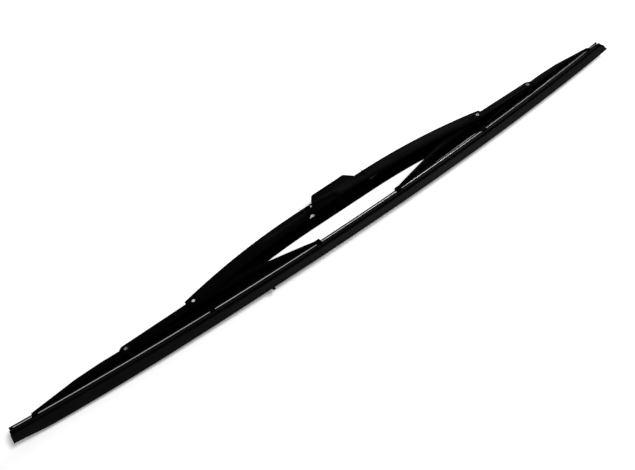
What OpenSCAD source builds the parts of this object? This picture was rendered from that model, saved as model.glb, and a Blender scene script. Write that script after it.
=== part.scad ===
// Long frame-type wiper blade, lying on its side: a pressed steel main lever carries two
// secondary and two outer levers, and their claws hold a bowed rubber with two spring rails.
// The blade runs along X, the arm side is +Y and its width runs along Z.
// Heights are given above the middle of the rails at the blade's centre.

/* [Rubber element] */
// Radius of the bow that the unloaded element takes up
bow_radius = 3300; // [2900:50:3900]
// Length of the element left of the arm hook
rubber_left = 352; // [342:1:362]
// Length of the element right of the arm hook
rubber_right = 348; // [342:1:362]
// Half width of the rubber head above the rails
head_half = 3.1; // [2.7:0.1:3.3]
// Height of the rubber head above the middle of the rails
head_rise = 2.0; // [1.7:0.1:2.2]
// Half width of the rubber left between the two rails
core_half = 0.8; // [0.6:0.1:1.1]
// Half width of the rib between the rails and the collar
rib_half = 2.4; // [2.1:0.1:2.6]
// Half width of the collar under the claw tips
collar_half = 3.3; // [3.0:0.1:3.5]
// Height of the collar
collar_tall = 2.1; // [1.8:0.1:2.3]
// Half width of the tipping neck
neck_half = 0.6; // [0.4:0.1:0.9]
// Depth at which the wiping wedge starts
wedge_drop = 6.2; // [5.8:0.1:6.6]
// Half width of the wiping wedge at its root
wedge_half = 2.9; // [2.4:0.1:3.3]
// Depth at which the wedge runs out into the thin lip
lip_drop = 10.6; // [9.8:0.1:11.2]
// Depth of the wiping edge
edge_drop = 12.2; // [11.8:0.1:12.8]
// Half thickness of the wiping edge
edge_half = 0.4; // [0.3:0.05:0.6]

/* [Spring rails] */
// Thickness of each rail
rail_thick = 1.0; // [0.8:0.1:1.1]
// Distance of the rails' outer edges from the mid-plane
rail_edge = 3.5; // [3.4:0.05:3.8]
// How far the rails stop short of the rubber's ends
rail_short = 1.5; // [0.5:0.5:4]
// Clearance between a rail and its slot
slot_gap = 0.05; // [0.03:0.01:0.1]

/* [Claws] */
// Place of the inner claws along the element
claw_inner_x = 48.1; // [44:0.1:54]
// Place of the middle claws along the element
claw_middle_x = 163.1; // [159:0.1:166]
// Place of the outer claws along the element
claw_outer_x = 331; // [326:0.5:336]
// Length of a claw along the element
claw_len = 5; // [4:0.1:6.5]
// Clearance beside the rails inside a claw
claw_gap = 0.15; // [0.12:0.01:0.3]
// Clearance over the rubber head inside a claw
roof_gap = 0.35; // [0.25:0.05:0.5]
// Thickness of the claw tips
claw_tip = 0.9; // [0.7:0.1:1.1]
// Clearance round the claw tips
tip_gap = 0.12; // [0.1:0.01:0.2]

/* [Pivots] */
// Distance of the inner pivots from the middle
pivot_in_x = 171.7; // [170:0.1:174]
// Height of the inner pivots
pivot_in_h = 21.6; // [21:0.1:22.4]
// Distance of the outer pivots from the middle
pivot_out_x = 241.9; // [238:0.1:246]
// Height of the outer pivots
pivot_out_h = 19.7; // [19.2:0.1:20.2]
// Radius of the rivet shanks
shank_r = 1.6; // [1.3:0.1:1.9]
// Radius of the rivet heads
rivet_head_r = 2.3; // [2.1:0.1:2.8]
// Height of the rivet heads
rivet_head = 0.5; // [0.3:0.1:0.8]
// Radius of the hole down each hollow rivet
rivet_bore_r = 0.85; // [0.6:0.05:1.0]
// Thickness of the plastic joint liners beside the levers
liner_thick = 0.4; // [0.3:0.05:0.6]
// Thickness of the liners' leaning and top walls
liner_wall = 0.25; // [0.22:0.01:0.28]
// Half length of a liner's saddle
liner_half = 4.2; // [3.4:0.1:5]
// Radius of the liners' round cheeks
liner_r = 5.0; // [4:0.1:5.4]
// Running clearance of the pivots
run_gap = 0.05; // [0.03:0.01:0.1]

/* [Main lever] */
// Sheet thickness of the main lever
main_wall = 1.3; // [1.1:0.05:1.5]
// Height of the flat middle of its back
back_h = 45.8; // [45.4:0.1:46.6]
// Half length of the flat middle
back_flat = 38; // [34:1:42]
// Room between the inner joints' liners and the back over them
end_room = 1.5; // [1.3:0.1:2]
// Radius of the flanks' lower edges
lower_radius = 585; // [570:5:600]
// Depth of the flanks in the middle
flank_depth = 16.5; // [16:0.1:17]
// Depth of the leaning shoulders
shoulder_depth = 11; // [9.5:0.5:12]
// How far the shoulders lean in
shoulder_inset = 1.4; // [1:0.1:1.6]
// Radius of the round end lugs
lug_r = 6.9; // [6.5:0.1:7.4]
// Radius of the coined pads at the inner pivots
pad_r = 6.0; // [5.6:0.1:6.3]
// Half length of the recess in the middle of the upper flank's lower edge
recess_half = 33; // [30:0.5:33.5]
// Length of the slopes at its ends
recess_slope = 3.5; // [2:0.5:4]
// Height of that recess
recess_rise = 3.2; // [2.4:0.1:3.4]
// Left end of the window over the adapter
window_left = 27; // [26.5:0.5:28]
// Right end of the window over the adapter
window_right = 30; // [29:0.5:32]
// Middle of the latch slots left of the centre
latch_x = 30.5; // [30:0.1:31.5]
// Length of the latch slots
latch_len = 9; // [7:0.5:9.5]
// Height of the latch slots
latch_tall = 4; // [3.4:0.1:4.2]
// Height of the middle of the latch slots
latch_h = 43.1; // [42.8:0.05:43.2]

/* [Secondary levers] */
// Sheet thickness of the secondary levers
second_wall = 1.1; // [0.9:0.05:1.2]
// Slope of their inner arms
second_slope = 0.245; // [0.235:0.005:0.25]
// Height of their backs at the inner pivot
second_back = 26.4; // [26.2:0.1:26.7]
// Fall of their backs along the outer arms
second_fall = 0.0084; // [0.004:0.0002:0.01]
// Depth of their shoulders
second_shoulder = 5; // [4.6:0.1:5.6]
// How far their shoulders lean in
second_inset = 1.1; // [1:0.05:1.2]
// Place where the inner arms have reached full width
second_full_x = 96; // [88:1:104]
// Radius of their lugs at the inner pivots
second_lug_in = 7.1; // [6.8:0.1:7.4]

/* [Outer levers] */
// Sheet thickness of the outer levers
outer_wall = 0.95; // [0.8:0.05:1.05]
// Depth of their shoulders
outer_shoulder = 4.2; // [3.6:0.2:4.6]
// How far their shoulders lean in
outer_inset = 0.9; // [0.7:0.1:1]
// Height of their backs at the outer pivot
outer_back = 24.0; // [23.7:0.1:24.2]

/* [Bridge pin and hook adapter] */
// Radius of the bridge pin
pin_r = 2.25; // [2:0.05:2.4]
// Height of the bridge pin
pin_h = 36.9; // [36.5:0.1:37.3]
// Radius of the pin's low heads
pin_head_r = 3.4; // [3:0.1:3.8]
// Height of the pin's low heads
pin_head = 0.5; // [0.3:0.1:0.8]
// Width of the arm hook that the adapter takes
hook_width = 9; // [9:0.5:9]
// Thickness of the arm hook
hook_thick = 4; // [4:0.5:4]
// Clearance beside the hook
hook_gap = 0.2; // [0.15:0.05:0.3]
// Height of the seat that the hook lies on
seat_h = 52; // [51.6:0.1:52.4]
// Height of the adapter's core from the return slot to the seat
core_tall = 7; // [6.6:0.1:7.2]
// Thickness of the adapter's cheeks
cheek = 0.8; // [0.7:0.05:1]
// Reach of the cheeks left of the pin
cheek_left = 25; // [24:0.5:26]
// Reach of the cheeks right of the pin
cheek_right = 28.5; // [27:0.5:29.5]
// Place of the cheeks' highest point
cheek_peak = 21.3; // [19:0.1:23]
// Height of the cheeks over the seat
cheek_rise = 4.9; // [4.5:0.1:5.4]
// Distance of the nose's round from the pin
nose_x = 16.5; // [15.5:0.5:17.5]
// Right end of the return slot
slot_end = 9; // [7:0.5:11]
// Clearance between the adapter and the window
window_gap = 0.3; // [0.25:0.05:0.4]

/* [Hidden] */
outer_half = rail_edge + claw_gap + outer_wall;
second_inside = outer_half + liner_thick + 2 * run_gap;
second_half = second_inside + second_wall;
main_inside = second_half + liner_thick + 2 * run_gap;
main_half = main_inside + main_wall;
claw_inside = rail_edge + claw_gap;
claw_depth = rail_thick / 2 + tip_gap + claw_tip;
collar_top = claw_depth + tip_gap;
back_end_drop = back_h - second_back - run_gap - liner_wall - end_room - main_wall;
back_radius = (pow(pivot_in_x - back_flat, 2) + pow(back_end_drop, 2)) / (2 * back_end_drop);
lower_h = back_h - flank_depth;
hook_half = hook_width / 2 + hook_gap;
adapter_half = hook_half + cheek;
rivet_rim_r = rivet_head_r - 0.3;
slot_top = seat_h - core_tall;
nose_r = core_tall / 2;
reach = 40;
fine = 96;
very_fine = 1440;
paint = [0.09, 0.09, 0.1];
plastic = [0.14, 0.14, 0.15];
steel = [0.72, 0.73, 0.75];
rubber = [0.05, 0.05, 0.055];

// Moves what is built on the rail height into the frame of the hook seat.
module place() {
    translate([0, -seat_h, 0])
        children();
}

// Puts a shape made at the middle of the rails onto the bow.
module on_bow(x) {
    translate([0, bow_radius, 0])
        rotate([0, 0, x / bow_radius * 180 / PI])
            translate([0, -bow_radius, 0])
                children();
}

// The side view point at a place along the bow and a height over the rails there.
function bow_at(x, h) = [
    (bow_radius - h) * sin(x / bow_radius * 180 / PI),
    bow_radius - (bow_radius - h) * cos(x / bow_radius * 180 / PI)
];

// Sweeps a section, drawn as height and width, along the bow.
module bow_sweep(from, to) {
    translate([0, bow_radius, 0])
        rotate([0, 0, from / bow_radius * 180 / PI - 90])
            rotate_extrude(angle = (to - from) / bow_radius * 180 / PI, $fn = very_fine)
                translate([bow_radius, 0])
                    mirror([1, 0])
                        children();
}

module both_sides() {
    children();
    mirror([0, 0, 1])
        children();
}

// Extrudes a section, drawn as height and width, along X.
module along_x(from, to) {
    translate([from, 0, 0])
        rotate([90, 0, 90])
            linear_extrude(to - from)
                children();
}

// A side view extruded over a width.
module side_slab(half) {
    translate([0, 0, -half])
        linear_extrude(2 * half)
            children();
}

// A plan view, drawn as length and width, extruded over all heights.
module plan_slab() {
    translate([0, 70, 0])
        rotate([90, 0, 0])
            linear_extrude(110)
                children();
}

// Section, as height and width, of what is trimmed off above a back and its leaning shoulders.
module trim_section(half, inset, depth) {
    tall = 26;
    deep = depth + depth / inset;
    polygon([
        [tall, half + 1],
        [-deep, half + 1],
        [0, half - inset],
        [0, inset - half],
        [-deep, -half - 1],
        [tall, -half - 1]
    ]);
}

// Trims a lever along its back line from p to q, and past its ends by the given lengths.
module trim_line(p, q, before, after, half, inset, depth) {
    run = q - p;
    translate([p.x, p.y, 0])
        rotate([0, 0, atan2(run.y, run.x)])
            along_x(-before, norm(run) + after)
                trim_section(half, inset, depth);
}

rubber_side = [
    [head_rise, head_half - 0.5],
    [head_rise - 0.5, head_half],
    [rail_thick / 2 + slot_gap, head_half],
    [rail_thick / 2 + slot_gap, core_half],
    [-rail_thick / 2 - slot_gap, core_half],
    [-rail_thick / 2 - slot_gap, rib_half],
    [-collar_top, rib_half],
    [-collar_top, collar_half],
    [-collar_top - collar_tall, collar_half],
    [-collar_top - collar_tall - 0.3, neck_half],
    [-wedge_drop, neck_half],
    [-wedge_drop - 0.3, wedge_half],
    [-wedge_drop - 1.3, wedge_half],
    [-lip_drop, edge_half + 0.5],
    [-edge_drop, edge_half]
];

module rubber_section() {
    last = len(rubber_side) - 1;
    polygon(concat(rubber_side, [for (i = [last:-1:0]) [rubber_side[i].x, -rubber_side[i].y]]));
}

module wiping_rubber() {
    color(rubber)
        place()
            bow_sweep(-rubber_left, rubber_right)
                rubber_section();
}

module spring_rail() {
    bow_sweep(-rubber_left + rail_short, rubber_right - rail_short)
        translate([-rail_thick / 2, core_half + slot_gap])
            square([rail_thick, rail_edge - core_half - slot_gap]);
}

module rail_upper() {
    color(steel)
        place()
            spring_rail();
}

module rail_lower() {
    color(steel)
        place()
            mirror([0, 0, 1])
                spring_rail();
}

// The passage for the rubber head and rails, with the gap between the tips.
module claw_passage(x) {
    long = claw_len + 2;
    bottom = rail_thick / 2 + tip_gap;
    tips = rib_half + tip_gap;
    on_bow(x) {
        translate([-long / 2, -bottom, -claw_inside])
            cube([long, bottom + head_rise + roof_gap, 2 * claw_inside]);
        translate([-long / 2, -bottom - claw_tip - 1, -tips])
            cube([long, claw_tip + 2, 2 * tips]);
    }
}

// Trims along the main lever's back, lowered by a wall for its hollow.
module main_trim(drop, half) {
    sweep = asin((pivot_in_x + reach - back_flat) / back_radius);
    translate([0, back_h - drop, 0])
        along_x(-back_flat, back_flat)
            trim_section(half, shoulder_inset, shoulder_depth);
    for (side = [0, 1])
        mirror([side, 0, 0])
            translate([back_flat, back_h - back_radius, 0])
                rotate([0, 0, 90 - sweep])
                    rotate_extrude(angle = sweep, $fn = very_fine)
                        translate([back_radius - drop, 0])
                            trim_section(half, shoulder_inset, shoulder_depth);
}

module main_block(drop, half, low, long) {
    difference() {
        translate([-long, low, -half])
            cube([2 * long, back_h + 2 - low, 2 * half]);
        main_trim(drop, half);
    }
}

module main_channel() {
    long = pivot_in_x + lug_r;
    difference() {
        main_block(0, main_half, 0, long);
        main_block(main_wall, main_inside, -5, long + 5);
    }
}

// What is cut away below the flanks' lower edges.
module main_lower_cut() {
    translate([-back_flat, lower_h - 60, -reach / 2])
        cube([2 * back_flat, 60, reach]);
    linear_extrude(reach / 2)
        polygon([
            [-recess_half - recess_slope, lower_h - 1],
            [-recess_half - recess_slope, lower_h],
            [-recess_half, lower_h + recess_rise],
            [recess_half, lower_h + recess_rise],
            [recess_half + recess_slope, lower_h],
            [recess_half + recess_slope, lower_h - 1]
        ]);
    for (side = [0, 1])
        mirror([side, 0, 0]) {
            translate([back_flat, lower_h - lower_radius, -reach / 2])
                cylinder(r = lower_radius, h = reach, $fn = very_fine);
            translate([pivot_in_x - 12, -30, -reach / 2])
                cube([60, 30 + pivot_in_h - lug_r, reach]);
        }
}

// What is cut away outside the round end lug.
module main_end_cut() {
    difference() {
        translate([pivot_in_x, -10, -reach / 2])
            cube([reach, 70, reach]);
        translate([pivot_in_x, pivot_in_h, -reach])
            cylinder(r = lug_r, h = 2 * reach, $fn = fine);
        translate([pivot_in_x - 1, pivot_in_h, -reach])
            cube([lug_r + 1, reach, 2 * reach]);
    }
}

// Room at the lever's ends for the secondary lever's back and shoulders.
module main_end_room() {
    translate([pivot_in_x + 2.5, 23.6, -second_half + 0.3])
        cube([reach, 20, 2 * second_half - 0.6]);
    translate([pivot_in_x + 0.5, -10, -main_inside + 0.1])
        cube([reach, 34.2, 2 * main_inside - 0.2]);
}

module latch_slot() {
    straight = latch_len / 2 - latch_tall / 2;
    translate([-latch_x - straight, latch_h - latch_tall / 2, -reach / 2])
        cube([2 * straight, latch_tall, reach]);
    for (end = [-1, 1])
        translate([-latch_x + end * straight, latch_h, -reach / 2])
            cylinder(d = latch_tall, h = reach, $fn = fine);
}

module main_lever() {
    pin_pad = pin_head_r + 1;
    color(paint)
        place()
            difference() {
                union() {
                    main_channel();
                    both_sides() {
                        for (side = [-1, 1])
                            translate([side * pivot_in_x, pivot_in_h, main_inside])
                                cylinder(r = pad_r, h = main_wall, $fn = fine);
                        translate([0, pin_h, main_inside])
                            cylinder(r = pin_pad, h = main_wall, $fn = fine);
                    }
                }
                for (side = [-1, 1])
                    translate([side * pivot_in_x, pivot_in_h, -main_inside]) {
                        cylinder(r = pad_r, h = 2 * main_inside, $fn = fine);
                        translate([0, 0, -reach / 2])
                            cylinder(r = shank_r + run_gap, h = 2 * reach, $fn = fine);
                    }
                translate([0, pin_h, -main_inside]) {
                    cylinder(r = pin_pad, h = 2 * main_inside, $fn = fine);
                    translate([0, 0, -reach / 2])
                        cylinder(r = pin_r + run_gap, h = 2 * reach, $fn = fine);
                }
                main_lower_cut();
                for (side = [0, 1])
                    mirror([side, 0, 0])
                        main_end_cut();
                for (side = [0, 1])
                    mirror([side, 0, 0])
                        main_end_room();
                translate([-window_left, pin_h + 1, -adapter_half - window_gap])
                    cube([window_left + window_right, 20, 2 * (adapter_half + window_gap)]);
                latch_slot();
            }
}

// Back lines of the secondary lever: rising inner arm, falling outer arm.
second_start = bow_at(claw_inner_x + claw_len / 2 + 0.7, head_rise + roof_gap + second_wall);
second_end = [pivot_out_x, second_back - second_fall * (pivot_out_x - pivot_in_x)];
knee_x = (second_back + second_fall * pivot_in_x - second_start.y + second_slope * second_start.x)
    / (second_slope + second_fall);
second_knee = [knee_x, second_start.y + second_slope * (knee_x - second_start.x)];
second_lug_out = second_end.y - pivot_out_h + 0.3;

// Wedges that narrow a secondary lever's inner arm from full width to the claw's.
module second_narrow(claw_half, half) {
    both_sides()
        plan_slab()
            polygon([
                [-reach, claw_half],
                [second_start.x, claw_half],
                [second_full_x, half],
                [second_full_x, half + 2],
                [-reach, half + 2]
            ]);
}

module second_trim(drop, half) {
    down = [0, drop];
    roof = bow_at(claw_inner_x - claw_len / 2 - 4, head_rise + roof_gap + second_wall) - down;
    trim_line(roof, second_start - down, 0, 0.3, half, second_inset, second_shoulder);
    trim_line(second_start - down, second_knee - down, 0, 9, half, second_inset, second_shoulder);
    trim_line(second_knee - down, second_end - down, 9, 12, half, second_inset, second_shoulder);
}

module second_outside() {
    difference() {
        union() {
            side_slab(second_half)
                polygon([
                    bow_at(claw_inner_x + claw_len / 2, -claw_depth),
                    bow_at(claw_inner_x - claw_len / 2, -claw_depth),
                    bow_at(claw_inner_x - claw_len / 2, 6),
                    second_knee + [0, 3],
                    second_end + [0, 3],
                    [second_end.x, 17],
                    [pivot_in_x + 6, 17],
                    [pivot_in_x - 5, 15.7],
                    [155, 15.1],
                    [146, 14.7],
                    [128, 13.6],
                    [113, 12.6],
                    [98, 11.1],
                    [60, 2.9],
                    bow_at(claw_inner_x + claw_len / 2, 0.6)
                ]);
            translate([pivot_in_x, pivot_in_h, -second_half])
                cylinder(r = second_lug_in, h = 2 * second_half, $fn = fine);
            translate([pivot_out_x, pivot_out_h, -second_half])
                cylinder(r = second_lug_out, h = 2 * second_half, $fn = fine);
        }
        second_narrow(claw_inside + second_wall, second_half);
        second_trim(0, second_half);
    }
}

module second_hollow() {
    claw_right = claw_inner_x + claw_len / 2 + 0.4;
    difference() {
        side_slab(second_inside)
            polygon([
                [claw_right, -20],
                [claw_right, second_start.y],
                second_start + [0, 1],
                second_knee + [0, 1],
                second_end + [0, 1],
                [pivot_out_x + reach, second_end.y + 1],
                [pivot_out_x + reach, -20]
            ]);
        second_narrow(claw_inside + 0.1, second_inside);
        second_trim(second_wall, second_inside);
    }
}

module secondary_lever() {
    difference() {
        second_outside();
        second_hollow();
        claw_passage(claw_inner_x);
        translate([pivot_out_x + 2.2, second_end.y - second_wall - 0.9, -second_inside + 0.45])
            cube([20, 6, 2 * second_inside - 0.9]);
        translate([pivot_in_x, pivot_in_h, -reach])
            cylinder(r = shank_r + run_gap, h = 2 * reach, $fn = fine);
        translate([pivot_out_x, pivot_out_h, -reach])
            cylinder(r = shank_r + run_gap, h = 2 * reach, $fn = fine);
    }
}

module secondary_lever_right() {
    color(paint)
        place()
            secondary_lever();
}

module secondary_lever_left() {
    color(paint)
        place()
            mirror([1, 0, 0])
                secondary_lever();
}

outer_start = bow_at(claw_middle_x - claw_len / 2, head_rise + roof_gap + outer_wall);
outer_rise = [pivot_out_x - 6, outer_back - 0.4];
outer_top = [266, 25.2];
outer_turn = [290, 24.9];
outer_end = bow_at(claw_outer_x + claw_len / 2, head_rise + roof_gap + outer_wall);

module outer_trim(drop, half) {
    down = [0, drop];
    lap = 9;
    trim_line(outer_start - down, outer_rise - down, lap, lap, half, outer_inset, outer_shoulder);
    trim_line(outer_rise - down, outer_top - down, lap, lap, half, outer_inset, outer_shoulder);
    trim_line(outer_top - down, outer_turn - down, lap, lap, half, outer_inset, outer_shoulder);
    trim_line(outer_turn - down, outer_end - down, lap, lap, half, outer_inset, outer_shoulder);
}

module outer_outside() {
    claw_in = claw_middle_x + claw_len / 2;
    claw_out = claw_outer_x - claw_len / 2;
    above = [0, 2];
    difference() {
        side_slab(outer_half)
            polygon([
                bow_at(claw_middle_x - claw_len / 2, 6),
                outer_rise + above,
                outer_top + above,
                outer_turn + above,
                bow_at(claw_outer_x + claw_len / 2, 6),
                bow_at(claw_outer_x + claw_len / 2, -claw_depth),
                bow_at(claw_outer_x - claw_len / 2, -claw_depth),
                bow_at(claw_outer_x - claw_len / 2, 0.6),
                [claw_out - 3, 19.5],
                [claw_outer_x - 19, 18.8],
                [claw_outer_x - 41, 17.4],
                [pivot_out_x + 20, 15.6],
                [pivot_out_x + 8, 14.8],
                [pivot_out_x - 10, 14.6],
                [claw_middle_x + 51, 14.2],
                [claw_in + 4, 8.6],
                bow_at(claw_middle_x + claw_len / 2, 0.6),
                bow_at(claw_middle_x + claw_len / 2, -claw_depth),
                bow_at(claw_middle_x - claw_len / 2, -claw_depth)
            ]);
        outer_trim(0, outer_half);
    }
}

module outer_hollow() {
    claw_in = claw_middle_x + claw_len / 2 + 0.4;
    claw_out = claw_outer_x - claw_len / 2 - 0.6;
    half = claw_inside + 0.1;
    above = [0, 1];
    difference() {
        side_slab(half)
            polygon([
                [claw_in, -20],
                [claw_in, outer_start.y + 3],
                outer_rise + above,
                outer_top + above,
                outer_turn + above,
                [claw_out, outer_turn.y],
                [claw_out, -20]
            ]);
        outer_trim(outer_wall, half);
    }
}

module outer_lever() {
    difference() {
        outer_outside();
        outer_hollow();
        claw_passage(claw_middle_x);
        claw_passage(claw_outer_x);
        translate([pivot_out_x, pivot_out_h, -reach])
            cylinder(r = shank_r + run_gap, h = 2 * reach, $fn = fine);
    }
}

module outer_lever_right() {
    color(paint)
        place()
            outer_lever();
}

module outer_lever_left() {
    color(paint)
        place()
            mirror([1, 0, 0])
                outer_lever();
}

// A hollow rivet across a lever of the given half width, open at its upper head.
module hollow_rivet(x, h, half) {
    color(steel)
        place()
            translate([x, h, 0])
                difference() {
                    union() {
                        translate([0, 0, -half - rivet_head])
                            cylinder(r = shank_r, h = 2 * (half + rivet_head), $fn = fine);
                        both_sides()
                            translate([0, 0, half])
                                cylinder(r1 = rivet_head_r, r2 = rivet_rim_r, h = rivet_head, $fn = fine);
                    }
                    translate([0, 0, half - 3])
                        cylinder(r = rivet_bore_r, h = 10, $fn = fine);
                }
}

module rivet_inner_right() {
    hollow_rivet(pivot_in_x, pivot_in_h, main_half);
}

module rivet_inner_left() {
    hollow_rivet(-pivot_in_x, pivot_in_h, main_half);
}

module rivet_outer_right() {
    hollow_rivet(pivot_out_x, pivot_out_h, second_half);
}

module rivet_outer_left() {
    hollow_rivet(-pivot_out_x, pivot_out_h, second_half);
}

// A U-shaped liner saddled over the inner lever of a joint, with round cheeks.
module joint_liner(x, h, p, q, half, inset, depth) {
    up = [0, liner_wall];
    grown = half + liner_wall;
    difference() {
        union() {
            translate([x - liner_half, h, -grown])
                cube([2 * liner_half, 12, 2 * grown]);
            translate([x, h, -half - liner_thick - run_gap])
                cylinder(r = liner_r, h = 2 * (half + liner_thick + run_gap), $fn = fine);
        }
        trim_line(p + up, q + up, reach, reach, grown, inset, depth);
        difference() {
            translate([x - reach, h - reach, -half])
                cube([2 * reach, 2 * reach, 2 * half]);
            trim_line(p, q, 2 * reach, 2 * reach, half, inset, depth);
        }
        translate([x, h, -reach])
            cylinder(r = shank_r + run_gap, h = 2 * reach, $fn = fine);
    }
}

module inner_liner() {
    joint_liner(pivot_in_x, pivot_in_h, second_knee, second_end, second_half, second_inset, second_shoulder);
}

module outer_liner() {
    joint_liner(pivot_out_x, pivot_out_h, outer_rise, outer_top, outer_half, outer_inset, outer_shoulder);
}

module liner_inner_right() {
    color(plastic)
        place()
            inner_liner();
}

module liner_inner_left() {
    color(plastic)
        place()
            mirror([1, 0, 0])
                inner_liner();
}

module liner_outer_right() {
    color(plastic)
        place()
            outer_liner();
}

module liner_outer_left() {
    color(plastic)
        place()
            mirror([1, 0, 0])
                outer_liner();
}

module bridge_pin() {
    color(paint)
        place()
            translate([0, pin_h, 0]) {
                translate([0, 0, -main_half - pin_head])
                    cylinder(r = pin_r, h = 2 * (main_half + pin_head), $fn = fine);
                both_sides()
                    translate([0, 0, main_half])
                        cylinder(r1 = pin_head_r, r2 = pin_head_r - 0.4, h = pin_head, $fn = fine);
            }
}

// Side view of the adapter's cheeks.
module cheek_side() {
    polygon([
        [-cheek_left, slot_top - 1.5],
        [-cheek_left, slot_top + 1],
        [-0.87 * cheek_left, slot_top + 5.8],
        [-0.74 * cheek_left, seat_h + 0.68 * cheek_rise],
        [-0.64 * cheek_left, seat_h + 0.84 * cheek_rise],
        [0.56 * cheek_peak, seat_h + 0.92 * cheek_rise],
        [cheek_peak, seat_h + cheek_rise],
        [cheek_peak + 1.6, seat_h + 0.68 * cheek_rise],
        [cheek_right, slot_top + 3],
        [cheek_right, slot_top + 0.5],
        [0.5 * cheek_right, slot_top - 6.5],
        [pin_r + 1.5, pin_h - pin_r],
        [-pin_r - 1.5, pin_h - pin_r],
        [-0.36 * cheek_left, slot_top - 6],
        [-0.84 * cheek_left, slot_top - 4.2]
    ]);
}

module hook_adapter() {
    barrel_r = pin_r + 1.8;
    color(plastic)
        place()
            difference() {
                union() {
                    side_slab(adapter_half)
                        cheek_side();
                    translate([0, pin_h, -adapter_half])
                        cylinder(r = barrel_r, h = 2 * adapter_half, $fn = fine);
                }
                // The hook's upper channel over the seat
                translate([-reach, seat_h, -hook_half])
                    cube([2 * reach, 20, 2 * hook_half]);
                // The return slot under the core
                translate([-reach, slot_top - hook_thick - 0.2, -hook_half])
                    cube([reach + slot_end, hook_thick + 0.2, 2 * hook_half]);
                // The bend round the nose
                difference() {
                    translate([-reach, slot_top - 0.1, -hook_half])
                        cube([reach - nose_x, 20, 2 * hook_half]);
                    translate([-nose_x, seat_h - nose_r, -hook_half - 1])
                        cylinder(r = nose_r, h = 2 * hook_half + 2, $fn = fine);
                }
                // Hollow below the return slot, beside the barrel
                difference() {
                    translate([-reach, pin_h - 20, -hook_half])
                        cube([2 * reach, 20 + slot_top - hook_thick - 1.6 - pin_h, 2 * hook_half]);
                    translate([0, pin_h, -hook_half - 1])
                        cylinder(r = barrel_r, h = 2 * hook_half + 2, $fn = fine);
                }
                translate([0, pin_h, -reach])
                    cylinder(r = pin_r + run_gap, h = 2 * reach, $fn = fine);
            }
}

main_lever();
secondary_lever_left();
secondary_lever_right();
outer_lever_left();
outer_lever_right();
wiping_rubber();
rail_upper();
rail_lower();
rivet_inner_left();
rivet_inner_right();
rivet_outer_left();
rivet_outer_right();
liner_inner_left();
liner_inner_right();
liner_outer_left();
liner_outer_right();
bridge_pin();
hook_adapter();
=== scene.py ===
import math
import bmesh
import bpy
from mathutils import Matrix, Vector


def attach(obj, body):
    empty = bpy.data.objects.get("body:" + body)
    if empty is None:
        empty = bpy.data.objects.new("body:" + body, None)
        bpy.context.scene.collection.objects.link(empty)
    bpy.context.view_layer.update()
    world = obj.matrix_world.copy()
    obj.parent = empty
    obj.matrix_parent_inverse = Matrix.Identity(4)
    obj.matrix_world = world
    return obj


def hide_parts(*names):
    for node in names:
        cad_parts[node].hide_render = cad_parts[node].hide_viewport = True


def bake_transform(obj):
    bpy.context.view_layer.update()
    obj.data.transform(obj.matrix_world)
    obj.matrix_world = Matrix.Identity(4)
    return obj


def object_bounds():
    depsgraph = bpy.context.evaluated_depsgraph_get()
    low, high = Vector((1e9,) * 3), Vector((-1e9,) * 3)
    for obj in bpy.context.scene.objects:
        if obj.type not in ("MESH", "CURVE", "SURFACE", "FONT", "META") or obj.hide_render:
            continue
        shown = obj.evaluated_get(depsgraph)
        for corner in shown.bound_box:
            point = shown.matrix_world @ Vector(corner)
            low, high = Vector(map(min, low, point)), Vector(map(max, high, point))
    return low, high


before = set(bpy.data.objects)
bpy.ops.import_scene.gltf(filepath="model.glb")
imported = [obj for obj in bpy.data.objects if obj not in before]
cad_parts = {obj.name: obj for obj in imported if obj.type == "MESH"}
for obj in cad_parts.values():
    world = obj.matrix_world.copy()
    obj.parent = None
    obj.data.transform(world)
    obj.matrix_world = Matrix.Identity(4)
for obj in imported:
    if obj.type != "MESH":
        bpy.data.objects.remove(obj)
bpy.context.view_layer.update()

seatHeight = 0.052  # the hook seat above the rails, as in the part's source
bowRadius = 3.3  # of the rails, as in the part's source
print("frame loaded:", len(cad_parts), "nodes")


# small helpers for curves, pieces and node trees

def smooth(share):
    share = min(1, max(0, share))
    return share * share * (3 - 2 * share)


def newPiece(name, mesh, materials, smoothAngle):
    data = bpy.data.meshes.new(name)
    mesh.to_mesh(data)
    mesh.free()
    piece = bpy.data.objects.new(name, data)
    bpy.context.scene.collection.objects.link(piece)
    for material in materials:
        data.materials.append(material)
    data.set_sharp_from_angle(angle=math.radians(smoothAngle))
    for polygon in data.polygons:
        polygon.use_smooth = True
    return piece


def addNode(tree, kind, where=(0, 0), **values):
    node = tree.nodes.new(kind)
    node.location = where
    for name, value in values.items():
        setattr(node, name, value)
    return node


def mathNode(tree, operation, first, second=None, where=(0, 0)):
    node = addNode(tree, "ShaderNodeMath", where, operation=operation)
    for index, value in enumerate((first, second)):
        if value is None:
            continue
        if isinstance(value, (int, float)):
            node.inputs[index].default_value = value
        else:
            tree.links.new(value, node.inputs[index])
    return node.outputs[0]


def newGroup(name, inputs, outputs):
    group = bpy.data.node_groups.new(name, "ShaderNodeTree")
    for label, kind, value in inputs:
        socket = group.interface.new_socket(name=label, in_out="INPUT", socket_type=kind)
        if value is not None:
            socket.default_value = value
    for label, kind in outputs:
        group.interface.new_socket(name=label, in_out="OUTPUT", socket_type=kind)
    start = addNode(group, "NodeGroupInput", (-900, 0))
    end = addNode(group, "NodeGroupOutput", (700, 0))
    return group, start, end


def useGroup(tree, group, where, **values):
    node = addNode(tree, "ShaderNodeGroup", where, node_tree=group)
    for label, value in values.items():
        node.inputs[label].default_value = value
    return node


# shared effects

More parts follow.
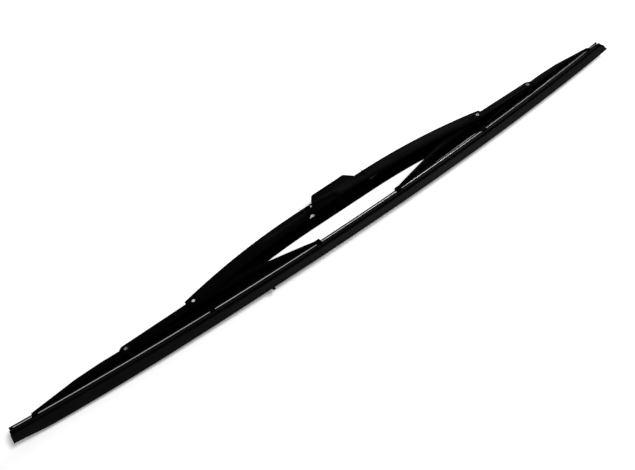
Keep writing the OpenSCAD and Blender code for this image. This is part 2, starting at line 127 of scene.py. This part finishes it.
def buildGrainGroup():
    group, start, end = newGroup(
        "surfaceGrain",
        [("Vector", "NodeSocketVector", None), ("Scale", "NodeSocketFloat", 900.0),
         ("Fine", "NodeSocketFloat", 3200.0), ("Fine Share", "NodeSocketFloat", 0.4)],
        [("Height", "NodeSocketFloat"), ("Mottle", "NodeSocketFloat")],
    )
    links = group.links
    coarse = addNode(group, "ShaderNodeTexNoise", (-500, 160))
    coarse.inputs["Detail"].default_value = 3
    fine = addNode(group, "ShaderNodeTexNoise", (-500, -120))
    fine.inputs["Detail"].default_value = 2
    broad = addNode(group, "ShaderNodeTexNoise", (-500, -380))
    broad.inputs["Scale"].default_value = 38
    broad.inputs["Detail"].default_value = 4
    for node in (coarse, fine, broad):
        links.new(start.outputs["Vector"], node.inputs["Vector"])
    links.new(start.outputs["Scale"], coarse.inputs["Scale"])
    links.new(start.outputs["Fine"], fine.inputs["Scale"])
    share = mathNode(group, "MULTIPLY", fine.outputs["Fac"], start.outputs["Fine Share"], (-200, -80))
    links.new(mathNode(group, "ADD", coarse.outputs["Fac"], share, (0, 60)), end.inputs["Height"])
    links.new(broad.outputs["Fac"], end.inputs["Mottle"])
    return group


def buildDustGroup():
    group, start, end = newGroup(
        "lightDust",
        [("Vector", "NodeSocketVector", None), ("Scale", "NodeSocketFloat", 60.0),
         ("Amount", "NodeSocketFloat", 0.3)],
        [("Mask", "NodeSocketFloat")],
    )
    links = group.links
    cloud = addNode(group, "ShaderNodeTexNoise", (-500, 100))
    cloud.inputs["Detail"].default_value = 5
    cloud.inputs["Roughness"].default_value = 0.65
    specks = addNode(group, "ShaderNodeTexNoise", (-500, -180))
    specks.inputs["Scale"].default_value = 1400
    specks.inputs["Detail"].default_value = 2
    links.new(start.outputs["Vector"], cloud.inputs["Vector"])
    links.new(start.outputs["Scale"], cloud.inputs["Scale"])
    links.new(start.outputs["Vector"], specks.inputs["Vector"])
    ramp = addNode(group, "ShaderNodeValToRGB", (-250, 100))
    ramp.color_ramp.elements[0].position = 0.42
    ramp.color_ramp.elements[1].position = 0.78
    links.new(cloud.outputs["Fac"], ramp.inputs["Fac"])
    mixed = mathNode(group, "MULTIPLY", ramp.outputs["Color"], specks.outputs["Fac"], (60, 0))
    links.new(mathNode(group, "MULTIPLY", mixed, start.outputs["Amount"], (300, 0)), end.inputs["Mask"])
    return group


def buildBrushedGroup():
    group, start, end = newGroup(
        "brushedLines",
        [("Vector", "NodeSocketVector", None), ("Along", "NodeSocketFloat", 12.0),
         ("Across", "NodeSocketFloat", 2600.0)],
        [("Height", "NodeSocketFloat"), ("Shade", "NodeSocketFloat")],
    )
    links = group.links
    split = addNode(group, "ShaderNodeSeparateXYZ", (-700, 0))
    join = addNode(group, "ShaderNodeCombineXYZ", (-350, 0))
    links.new(start.outputs["Vector"], split.inputs[0])
    for axis, label, height in (("X", "Along", 160), ("Y", "Across", 0), ("Z", "Across", -160)):
        stretched = mathNode(group, "MULTIPLY", split.outputs[axis], start.outputs[label], (-520, height))
        links.new(stretched, join.inputs[axis])
    lines = addNode(group, "ShaderNodeTexNoise", (-150, 60))
    lines.inputs["Scale"].default_value = 1
    lines.inputs["Detail"].default_value = 3
    links.new(join.outputs[0], lines.inputs["Vector"])
    links.new(lines.outputs["Fac"], end.inputs["Height"])
    links.new(lines.outputs["Fac"], end.inputs["Shade"])
    return group


# a painted highlight: a thin light line, a glint, along the near flank's lower edge, fading out towards its
# end
def buildPaintedGlintGroup():
    labels = (("Start", 0.0), ("End", 0.02), ("Level", 0.0), ("Slope", 0.0), ("Half", 0.0003),
              ("Side", 0.0))
    group, start, end = newGroup(
        "paintedGlintLine",
        [("Vector", "NodeSocketVector", None)]
        + [(label, "NodeSocketFloat", value) for label, value in labels],
        [("Mask", "NodeSocketFloat")],
    )
    links = group.links
    given = start.outputs
    split = addNode(group, "ShaderNodeSeparateXYZ", (-700, 0))
    links.new(given["Vector"], split.inputs[0])
    along = mathNode(group, "SUBTRACT", split.outputs["X"], given["Start"], (-520, 200))
    length = mathNode(group, "SUBTRACT", given["End"], given["Start"], (-520, 350))
    share = mathNode(group, "DIVIDE", along, length, (-340, 250))
    rise = mathNode(group, "MULTIPLY", along, given["Slope"], (-340, 60))
    line = mathNode(group, "ADD", rise, given["Level"], (-160, 60))
    beside = mathNode(group, "SUBTRACT", split.outputs["Y"], line, (20, 60))
    off = mathNode(group, "DIVIDE", mathNode(group, "ABSOLUTE", beside, None, (160, 60)), given["Half"],
                   (20, -100))
    thin = mathNode(group, "MAXIMUM", mathNode(group, "SUBTRACT", 1, off, (160, -100)), 0, (300, -100))
    within = mathNode(group, "GREATER_THAN", share, 0, (-160, 250))
    rest = mathNode(group, "SUBTRACT", 1, share, (-160, 400))
    fading = mathNode(group, "MAXIMUM", rest, 0, (20, 400))
    near = mathNode(group, "GREATER_THAN", split.outputs["Z"], given["Side"], (-160, -250))
    mask = mathNode(group, "MULTIPLY", mathNode(group, "MULTIPLY", thin, within, (300, 200)),
                    mathNode(group, "MULTIPLY", fading, near, (300, 350)), (480, 250))
    links.new(mask, end.inputs["Mask"])
    return group


grainGroup = buildGrainGroup()
dustGroup = buildDustGroup()
brushedGroup = buildBrushedGroup()
paintedGlintGroup = buildPaintedGlintGroup()
print("shared shader groups built")


# materials

def startMaterial(name, **sockets):
    material = bpy.data.materials.new(name)
    material.use_nodes = True
    tree = material.node_tree
    shader = tree.nodes["Principled BSDF"]
    for label, value in sockets.items():
        shader.inputs[label.replace("_", " ")].default_value = value
    place = addNode(tree, "ShaderNodeTexCoord", (-1300, 0))
    return material, tree, shader, place.outputs["Object"]


def twoColours(tree, mask, low, high, where=(-350, 250)):
    mix = addNode(tree, "ShaderNodeMix", where, data_type="RGBA")
    tree.links.new(mask, mix.inputs["Factor"])
    mix.inputs["A"].default_value = (*low, 1)
    mix.inputs["B"].default_value = (*high, 1)
    return mix.outputs["Result"]


def overColour(tree, mask, under, colour, where=(-150, 250)):
    mix = addNode(tree, "ShaderNodeMix", where, data_type="RGBA")
    tree.links.new(mask, mix.inputs["Factor"])
    tree.links.new(under, mix.inputs["A"])
    mix.inputs["B"].default_value = (*colour, 1)
    return mix.outputs["Result"]


def spread(tree, value, low, high, where=(-350, 0)):
    node = addNode(tree, "ShaderNodeMapRange", where)
    node.inputs["To Min"].default_value = low
    node.inputs["To Max"].default_value = high
    tree.links.new(value, node.inputs["Value"])
    return node.outputs["Result"]


def bump(tree, shader, height, strength, distance):
    node = addNode(tree, "ShaderNodeBump", (-200, -300))
    node.inputs["Strength"].default_value = strength
    node.inputs["Distance"].default_value = distance
    tree.links.new(height, node.inputs["Height"])
    tree.links.new(node.outputs["Normal"], shader.inputs["Normal"])


def coatedMaterial(name, look):
    material, tree, shader, vector = startMaterial(name, Specular_IOR_Level=look["gloss"])
    grain = useGroup(tree, grainGroup, (-900, 0), Scale=look["grain"], Fine=look["fine"])
    dust = useGroup(tree, dustGroup, (-900, 300), Scale=look["dustScale"], Amount=look["dust"])
    for node in (grain, dust):
        tree.links.new(vector, node.inputs["Vector"])
    colour = twoColours(tree, grain.outputs["Mottle"], look["dark"], look["light"])
    shown = overColour(tree, dust.outputs["Mask"], colour, look["dustColour"])
    # painted highlight: the glint line on the near flank's lower edge, mixed into the paint colour
    if "paintedGlint" in look:
        glintNode = useGroup(tree, paintedGlintGroup, (-900, -300), **look["paintedGlint"])
        tree.links.new(vector, glintNode.inputs["Vector"])
        shown = overColour(tree, glintNode.outputs["Mask"], shown, look["paintedGlintColour"], (50, 250))
    tree.links.new(shown, shader.inputs["Base Color"])
    tree.links.new(spread(tree, grain.outputs["Mottle"], look["roughLow"], look["roughHigh"]),
                   shader.inputs["Roughness"])
    bump(tree, shader, grain.outputs["Height"], look["bump"], look["depth"])
    return material


def fadeNode(tree, value, start, stop, high, where):
    node = addNode(tree, "ShaderNodeMapRange", where, interpolation_type="SMOOTHSTEP")
    for label, number in (("From Min", start), ("From Max", stop), ("To Max", high)):
        node.inputs[label].default_value = number
    tree.links.new(value, node.inputs["Value"])
    return node.outputs["Result"]


def startSteel(name, look):
    # colour with its dust, and all other sockets that every steel surface shares
    material, tree, shader, vector = startMaterial(name)
    lines = useGroup(tree, brushedGroup, (-900, 0), Along=look["along"], Across=look["across"])
    dust = useGroup(tree, dustGroup, (-900, 300), Scale=look["dustScale"], Amount=look["dust"])
    for node in (lines, dust):
        tree.links.new(vector, node.inputs["Vector"])
    split = addNode(tree, "ShaderNodeSeparateXYZ", (-1200, -500))
    tree.links.new(vector, split.inputs[0])
    colour = twoColours(tree, lines.outputs["Shade"], look["dark"], look["light"])
    dusted = overColour(tree, dust.outputs["Mask"], colour, look["dustColour"])
    tree.links.new(spread(tree, lines.outputs["Shade"], look["roughLow"], look["roughHigh"]),
                   shader.inputs["Roughness"])
    bump(tree, shader, lines.outputs["Height"], look["bump"], look["depth"])
    return material, tree, shader, split, dusted


def rivetMaterialWithRim(name, look):
    # a bare tube end inside a painted head, round each pivot's axis
    material, tree, shader, split, dusted = startSteel(name, look)
    bare = None
    for index, (axisX, axisY, tube, strength) in enumerate(look["ends"]):
        height = -500 - 200 * index
        acrossX = mathNode(tree, "SUBTRACT", split.outputs["X"], axisX, (-900, height))
        acrossY = mathNode(tree, "SUBTRACT", split.outputs["Y"], axisY, (-900, height - 90))
        squareX = mathNode(tree, "MULTIPLY", acrossX, acrossX, (-750, height))
        squareY = mathNode(tree, "MULTIPLY", acrossY, acrossY, (-750, height - 90))
        total = mathNode(tree, "ADD", squareX, squareY, (-600, height))
        reach = mathNode(tree, "SQRT", total, None, (-450, height))
        end = fadeNode(tree, reach, tube + look["fade"], tube, strength, (-300, height))
        bare = end if bare is None else mathNode(tree, "MAXIMUM", bare, end, (-150, height))
    painted = mathNode(tree, "SUBTRACT", 1, bare, (0, -600))
    tree.links.new(overColour(tree, painted, dusted, look["rim"], (50, 250)), shader.inputs["Base Color"])
    tree.links.new(bare, shader.inputs["Metallic"])
    shader.inputs["Specular IOR Level"].default_value = look["gloss"]
    return material


def brushedMaterial(name, look):
    # steel whose colour darkens along the blade towards its right end, a painted shade where the rails'
    # reflection fades
    material, tree, shader, split, dusted = startSteel(name, look)
    paintedShade = fadeNode(tree, split.outputs["X"], look["paintedShadeFrom"], look["paintedShadeTo"], look["paintedShade"], (-600, -400))
    tree.links.new(overColour(tree, paintedShade, dusted, look["paintedShadeColour"], (0, 250)), shader.inputs["Base Color"])
    shader.inputs["Metallic"].default_value = 1
    return material


leverPaint = {
    "gloss": 0.0025, "grain": 700.0, "fine": 2600.0, "dustScale": 45.0, "dust": 0.02,
    "dark": (0.0003, 0.0003, 0.0003), "light": (0.0008, 0.0009, 0.0009), "dustColour": (0.05, 0.05, 0.049),
    "roughLow": 0.34, "roughHigh": 0.48, "bump": 0.25, "depth": 0.00012,
    # painted highlight: a light glint line along the near flank's lower edge of the main lever
    "paintedGlint": {"Start": 0.0185, "End": 0.046, "Level": -0.0229, "Slope": -0.0175, "Half": 0.0008,
               "Side": 0.0065},
    "paintedGlintColour": (0.3, 0.32, 0.32),
}
rubberLook = {
    "gloss": 0.028, "grain": 500.0, "fine": 4200.0, "dustScale": 30.0, "dust": 0.03,
    "dark": (0.0006, 0.0007, 0.0006), "light": (0.0014, 0.0016, 0.0015),
    "dustColour": (0.08, 0.08, 0.077),
    "roughLow": 0.42, "roughHigh": 0.56, "bump": 0.3, "depth": 0.00008,
}
adapterPlastic = {
    "gloss": 0.0035, "grain": 1500.0, "fine": 5200.0, "dustScale": 60.0, "dust": 0.02,
    "dark": (0.0004, 0.0005, 0.0004), "light": (0.001, 0.0011, 0.001), "dustColour": (0.06, 0.06, 0.058),
    "roughLow": 0.42, "roughHigh": 0.56, "bump": 0.45, "depth": 0.00008,
}
linerPlastic = {
    "gloss": 0.2, "grain": 1800.0, "fine": 5200.0, "dustScale": 60.0, "dust": 0.06,
    "dark": (0.003, 0.003, 0.0032), "light": (0.006, 0.006, 0.0064), "dustColour": (0.1, 0.1, 0.098),
    "roughLow": 0.45, "roughHigh": 0.6, "bump": 0.3, "depth": 0.00006,
}
railSteel = {
    "along": 14.0, "across": 2400.0, "dustScale": 50.0, "dust": 0.06,
    "dark": (0.3, 0.3, 0.29), "light": (0.46, 0.46, 0.44), "dustColour": (0.2, 0.18, 0.16),
    "roughLow": 0.3, "roughHigh": 0.4, "bump": 0.1, "depth": 0.00002,
    # painted shade: the bright edges darken towards the right end, where their reflection fades
    "paintedShadeFrom": 0.02, "paintedShadeTo": 0.2, "paintedShade": 0.78, "paintedShadeColour": (0.05, 0.05, 0.05),
}
railBlued = {
    "along": 14.0, "across": 2400.0, "dustScale": 50.0, "dust": 0.1,
    "dark": (0.02, 0.021, 0.024), "light": (0.05, 0.052, 0.056), "dustColour": (0.1, 0.09, 0.08),
    "roughLow": 0.4, "roughHigh": 0.5, "bump": 0.1, "depth": 0.00002,
    # painted shade: the blued flats darken towards the right end as well
    "paintedShadeFrom": 0.12, "paintedShadeTo": 0.26, "paintedShade": 0.5, "paintedShadeColour": (0.02, 0.02, 0.02),
}
rivetSteel = {
    "along": 900.0, "across": 900.0, "dustScale": 160.0, "dust": 0.2,
    "dark": (0.58, 0.58, 0.57), "light": (0.86, 0.86, 0.84), "dustColour": (0.22, 0.2, 0.18),
    "roughLow": 0.2, "roughHigh": 0.36, "bump": 0.2, "depth": 0.00003,
    "ends": ((-0.1717, -0.0304, 0.0012, 1.0), (0.1717, -0.0304, 0.0011, 0.65),
             (-0.2419, -0.0323, 0.001, 0.45), (0.2419, -0.0323, 0.0012, 0.28)),
    "fade": 0.0003, "rim": (0.003, 0.003, 0.003), "gloss": 0.1,
}
paintMaterial = coatedMaterial("satinBlackCoat", leverPaint)
rubberMaterial = coatedMaterial("mattRubber", rubberLook)
adapterMaterial = coatedMaterial("grainedPlastic", adapterPlastic)
linerMaterial = coatedMaterial("linerPlastic", linerPlastic)
railMaterial = brushedMaterial("springSteelEdge", railSteel)
bluedMaterial = brushedMaterial("bluedSpringSteel", railBlued)
rivetMaterial = rivetMaterialWithRim("rivetSteel", rivetSteel)
print("materials built")


# pressed and moulded parts: the frame's own shapes with their edges rounded

def leverLook(edge, body, **extra):
    return {"edge": edge, "body": body, "slot": "painted_steel", "material": paintMaterial, **extra}


def rivetLook(body):
    return {"edge": 0.0002, "body": body, "slot": "bright_steel", "material": rivetMaterial}


# rounding of the edges, and how far single edges stand away from the frame's
roundedParts = {
    "main_lever": leverLook(0.00045, "main_frame", slotLonger=0.0019, recessLonger=0.0013),
    "secondary_lever_left": leverLook(0.00035, "secondary_left", drop=0.0019),
    "secondary_lever_right": leverLook(0.00035, "secondary_right", drop=0.0007),
    "outer_lever_left": leverLook(0.0003, "outer_left"),
    "outer_lever_right": leverLook(0.0003, "outer_right"),
    "bridge_pin": leverLook(0.0002, "main_frame"),
    "hook_adapter": {"edge": 0.00035, "body": "adapter", "slot": "adapter_plastic",
                     "material": adapterMaterial},
    "rivet_inner_left": rivetLook("main_frame"),
    "rivet_inner_right": rivetLook("main_frame"),
    "rivet_outer_left": rivetLook("secondary_left"),
    "rivet_outer_right": rivetLook("secondary_right"),
}
rounding = {
    "merge": 1e-6, "flatAngle": 0.6, "edgeAngle": 28, "smoothAngle": 30, "segments": 2, "profile": 0.5,
}
# where the edges that are moved lie, as ranges along the blade and over the rails
farFlank = {"side": -0.0045, "along": (0.106, 0.1672), "below": 0.0122, "fade": 0.02}
latchSlot = {"side": -0.005, "along": (-0.0352, -0.0328), "height": (0.0405, 0.0453)}
nearRecess = {"side": 0.006, "along": (-0.0366, -0.0328), "height": (0.0285, 0.033)}


def adjustVertex(place, look):
    along, height = abs(place.x), place.y + seatHeight - 0.5 * place.x ** 2 / bowRadius
    start, stop = farFlank["along"]
    # the far flank hangs slightly lower between its pivot and its slope, as the photograph shows
    if "drop" in look and place.z < farFlank["side"] and start < along < stop and height < farFlank["below"]:
        place.y -= look["drop"] * min(1, (along - start) / farFlank["fade"])
    if "slotLonger" not in look:
        return
    # the light seen through the far latch slot reaches a little further to the left
    beyond = place.z < latchSlot["side"]
    facing = place.z > nearRecess["side"]
    for area, applies, amount in ((latchSlot, beyond, "slotLonger"), (nearRecess, facing, "recessLonger")):
        left, right = area["along"]
        low, high = area["height"]
        if applies and left < place.x < right and low < height < high:
            place.x -= look[amount]


def roundedCopy(node, look):
    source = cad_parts[node]
    mesh = bmesh.new()
    mesh.from_mesh(source.data)
    bmesh.ops.remove_doubles(mesh, verts=mesh.verts, dist=rounding["merge"])
    for vertex in mesh.verts:
        adjustVertex(vertex.co, look)
    bmesh.ops.dissolve_limit(mesh, angle_limit=math.radians(rounding["flatAngle"]), verts=mesh.verts,
                             edges=mesh.edges)
    sharp = [edge for edge in mesh.edges
             if len(edge.link_faces) == 2 and edge.calc_face_angle(0) > math.radians(rounding["edgeAngle"])]
    bmesh.ops.bevel(mesh, geom=sharp, offset=look["edge"], offset_type="OFFSET",
                    segments=rounding["segments"], profile=rounding["profile"], affect="EDGES",
                    clamp_overlap=True)
    piece = newPiece(node + "Rounded", mesh, [look["material"]], rounding["smoothAngle"])
    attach(piece, look["body"])
    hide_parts(node)
    return piece


for nodeName, nodeLook in roundedParts.items():
    made = roundedCopy(nodeName, nodeLook)
    print("rounded", nodeName, len(made.data.polygons), "faces")


# liners keep the frame's shape

for nodeName in ("liner_inner_left", "liner_inner_right", "liner_outer_left", "liner_outer_right"):
    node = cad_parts[nodeName]
    node.data.materials.clear()
    node.data.materials.append(linerMaterial)
print("liners finished")


# rubber element and spring rails, in stretches split at the inner claws

element = {
    "leftEnd": -0.3538, "rightEnd": 0.348, "step": 0.004, "smoothAngle": 32,
    "innerClaw": 0.0481, "middleBlend": (0.003, 0.045), "longBlend": (0.0515, 0.1601),
    "closed": 0.0016, "nub": -0.1074, "nubHalf": 0.0014,
}
rails = {
    "short": 0.0035, "inner": 0.00085, "outer": 0.0035, "half": 0.00042, "middle": -0.00025,
    "corner": 0.0002, "cornerBulge": 0.3, "flatStep": 0.0001,
}
# how far the lip leans towards the floor: along the left part, on the right, and less at the cut tip
lip = {
    "lean": 0.0034, "from": -0.07, "to": -0.3, "right": 0.0006, "rightTo": 0.2,
    "tipFrom": -0.318, "tipShare": 0.8, "root": -0.0042, "depth": 0.008,
}
# half outline of the rubber, as height over the rails and distance from the mid-plane, in mm
rubberOutline = [
    (2.2, 0.0), (2.2, 2.85), (2.15, 3.0), (2.0, 3.1), (0.5, 3.1), (0.4, 3.0), (0.4, 0.8),
    (-0.65, 0.8), (-0.65, 2.25), (-0.8, 2.4), (-1.64, 2.4), (-1.64, 3.1), (-1.84, 3.3), (-3.4, 3.3),
    (-3.72, 3.15), (-3.9, 2.7), (-4.04, 1.0), (-4.2, 0.62), (-6.2, 0.6), (-6.36, 1.0), (-6.5, 2.7),
    (-6.7, 2.88), (-7.4, 2.9), (-7.62, 2.82), (-8.2, 2.42), (-10.4, 1.0), (-10.8, 0.82), (-12.45, 0.42),
    (-12.6, 0.3), (-12.6, 0.0),
]
# the neck is closed at the cut ends
neckOutline = [(-4.0, 0.0), (-4.0, 2.5), (-4.3, 2.62), (-6.2, 2.62), (-6.5, 2.5), (-6.5, 0.0)]
# a small tab of rubber left on the lip's edge where the strip was trimmed
nubOutline = [(-12.0, 0.0), (-12.0, 0.42), (-14.6, 0.42), (-15.1, 0.2), (-15.1, 0.0)]


def onBow(along, height, width):
    angle = along / bowRadius
    radius = bowRadius - height
    return Vector((radius * math.sin(angle), bowRadius - radius * math.cos(angle) - seatHeight, width))


def lipLean(along, height):
    # the lip has taken a set towards the floor, mostly in its left part, and the cut end stands straighter
    left = smooth((along - lip["from"]) / (lip["to"] - lip["from"]))
    right = min(1, max(0, along / lip["rightTo"]))
    down = min(1, max(0, (lip["root"] - height) / lip["depth"]))
    kept = 1 - lip["tipShare"] * smooth((lip["tipFrom"] - along) / (lip["tipFrom"] - element["leftEnd"]))
    return (lip["lean"] * kept * left + lip["right"] * right) * down


def sweptPiece(name, outlines, start, end, capStart, capEnd, materials):
    count = max(2, int(round(abs(end - start) / element["step"])))
    mesh = bmesh.new()
    for outline in outlines:
        rings = []
        for index in range(count + 1):
            along = start + (end - start) * index / count
            rings.append([mesh.verts.new(onBow(along, height, width - lipLean(along, height)))
                          for height, width in outline])
        size = len(outline)
        for first, second in zip(rings, rings[1:]):
            for k in range(size):
                face = mesh.faces.new((first[k], first[(k + 1) % size], second[(k + 1) % size], second[k]))
                # the rails' bright edges take the first material and their blued flats the second
                flat = abs(outline[k][1] - outline[(k + 1) % size][1]) > rails["flatStep"]
                face.material_index = 1 if flat and len(materials) > 1 else 0
        if capStart:
            mesh.faces.new(list(reversed(rings[0])))
        if capEnd:
            mesh.faces.new(rings[-1])
    bmesh.ops.recalc_face_normals(mesh, faces=mesh.faces)
    return newPiece(name, mesh, materials, element["smoothAngle"])


def mirroredOutline(half):
    full = [(height / 1000, width / 1000) for height, width in half]
    back = [(height, -width) for height, width in reversed(full) if width > 0]
    return full + back


def railOutline(side):
    low, high = rails["inner"], rails["outer"]
    thick, corner = rails["half"], rails["corner"]
    bulge = rails["cornerBulge"] * corner
    points = [(thick, low), (thick, high - corner), (thick - bulge, high - bulge), (thick - corner, high),
              (corner - thick, high), (bulge - thick, high - bulge), (-thick, high - corner), (-thick, low)]
    return [(height + rails["middle"], side * width) for height, width in points]


def blendMiddle(piece):
    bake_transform(piece)


def blendLong(piece):
    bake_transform(piece)


def finishRubber(piece):
    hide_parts("wiping_rubber")


def finishRails(piece):
    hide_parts("rail_upper", "rail_lower")


sides = (
    (-1, element["leftEnd"], "Left", "secondary_left", "outer_left"),
    (1, element["rightEnd"], "Right", "secondary_right", "outer_right"),
)
rubberSection = [mirroredOutline(rubberOutline)]
railSection = [railOutline(1), railOutline(-1)]
for side, end, label, lever, outer in sides:
    split = side * element["innerClaw"]
    for kind, section, materials, stop, finish in (
            ("rubber", rubberSection, [rubberMaterial], end, finishRubber),
            ("rails", railSection, [railMaterial, bluedMaterial], end - side * rails["short"], finishRails)):
        piece = sweptPiece(kind + "Middle" + label, section, 0, split, False, False, materials)
        blendMiddle(piece)
        finish(piece)
        piece = sweptPiece(kind + "Long" + label, section, split, stop, False, True, materials)
        blendLong(piece)
        finish(piece)
for side, end, label, lever, outer in sides:
    inner = end - side * element["closed"]
    piece = sweptPiece("rubberEnd" + label, [mirroredOutline(neckOutline)], inner, end, True, True,
                       [rubberMaterial])
    blendLong(piece)
    finishRubber(piece)
nub = sweptPiece("rubberNub", [mirroredOutline(nubOutline)], element["nub"] - element["nubHalf"],
                 element["nub"] + element["nubHalf"], True, True, [rubberMaterial])
blendLong(nub)
finishRubber(nub)
print("rubber element and rails built")


# floor, light and camera

studio = {
    "floorColour": (0.93, 0.93, 0.93), "floorRough": 0.9, "floorHalf": 6.0, "worldFill": 0.15,
    "floorLift": 0.2, "farLift": 0.9, "liftFrom": 0.55, "liftTo": 1.5,
}
# name, place, target, size and energy
lamps = (
    ("keyBox", (1.2, -1.2, 2.4), (0, 0, 0), (1.6, 1.2), 88.0),
    ("backSheet", (0.6, 1.7, 1.9), (0, 0, 0), (2.4, 1.2), 3.0),
    ("backRightBox", (0.65, 0.7, 0.38), (0.2, 0, 0), (0.5, 0.3), 4.5),
)
# solved from the photograph
view = {
    "lens": 38.55, "sensor": 36, "near": 0.01, "place": (-0.2171, -0.4521, 0.4596),
    "right": (0.8018, -0.5631, -0.2001), "forward": (0.2727, 0.6427, -0.7159),
}


def directRays(tree):
    # 1 for what the camera sees, directly or through a reflection
    path = addNode(tree, "ShaderNodeLightPath", (-1000, 0))
    rays = path.outputs
    first = mathNode(tree, "MAXIMUM", rays["Is Camera Ray"], rays["Is Glossy Ray"], (-800, 0))
    return mathNode(tree, "MAXIMUM", first, rays["Is Transmission Ray"], (-600, 0))


def buildFloor():
    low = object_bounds()[0][2]
    half = studio["floorHalf"]
    data = bpy.data.meshes.new("floor")
    data.from_pydata([(-half, -half, low), (half, -half, low), (half, half, low), (-half, half, low)], [],
                     [(0, 1, 2, 3)])
    floor = bpy.data.objects.new("floor", data)
    bpy.context.scene.collection.objects.link(floor)
    material = bpy.data.materials.new("floorPaper")
    material.use_nodes = True
    tree = material.node_tree
    shader = tree.nodes["Principled BSDF"]
    shader.inputs["Base Color"].default_value = (*studio["floorColour"], 1)
    shader.inputs["Roughness"].default_value = studio["floorRough"]
    shader.inputs["Specular IOR Level"].default_value = 0
    place = addNode(tree, "ShaderNodeTexCoord", (-1100, -400))
    away = addNode(tree, "ShaderNodeVectorMath", (-900, -400), operation="LENGTH")
    tree.links.new(place.outputs["Object"], away.inputs[0])
    rise = addNode(tree, "ShaderNodeMapRange", (-700, -400), interpolation_type="SMOOTHSTEP")
    for label, value in (("From Min", "liftFrom"), ("From Max", "liftTo"), ("To Min", "floorLift"),
                         ("To Max", "farLift")):
        rise.inputs[label].default_value = studio[value]
    tree.links.new(away.outputs["Value"], rise.inputs["Value"])
    lift = mathNode(tree, "MULTIPLY", directRays(tree), rise.outputs["Result"], (-300, -200))
    shader.inputs["Emission Color"].default_value = (1, 1, 1, 1)
    tree.links.new(lift, shader.inputs["Emission Strength"])
    data.materials.append(material)


def buildWorld():
    world = bpy.data.worlds.new("studioWorld")
    bpy.context.scene.world = world
    world.use_nodes = True
    tree = world.node_tree
    background = tree.nodes["Background"]
    seen = mathNode(tree, "MULTIPLY", directRays(tree), 1 - studio["worldFill"], (-400, 0))
    strength = mathNode(tree, "ADD", seen, studio["worldFill"], (-200, 0))
    tree.links.new(strength, background.inputs["Strength"])
    background.inputs["Color"].default_value = (1, 1, 1, 1)


def addLamp(name, place, target, size, energy):
    lamp = bpy.data.lights.new(name, "AREA")
    lamp.shape = "RECTANGLE"
    lamp.size, lamp.size_y = size
    lamp.energy = energy
    body = bpy.data.objects.new(name, lamp)
    bpy.context.scene.collection.objects.link(body)
    body.location = place
    body.rotation_euler = (Vector(target) - Vector(place)).to_track_quat("-Z", "Y").to_euler()


def buildCamera():
    lens = bpy.data.cameras.new("photoCamera")
    lens.sensor_fit = "HORIZONTAL"
    lens.sensor_width = view["sensor"]
    lens.lens = view["lens"]
    lens.clip_start = view["near"]
    camera = bpy.data.objects.new("photoCamera", lens)
    bpy.context.scene.collection.objects.link(camera)
    right = Vector(view["right"]).normalized()
    forward = Vector(view["forward"]).normalized()
    up = right.cross(forward).normalized()
    turn = Matrix((right, up, -forward)).transposed().to_4x4()
    camera.matrix_world = Matrix.Translation(view["place"]) @ turn
    bpy.context.scene.camera = camera


buildFloor()
buildWorld()
for lamp in lamps:
    addLamp(*lamp)
buildCamera()
bpy.context.scene.view_settings.view_transform = "Standard"
print("floor, light and camera set")
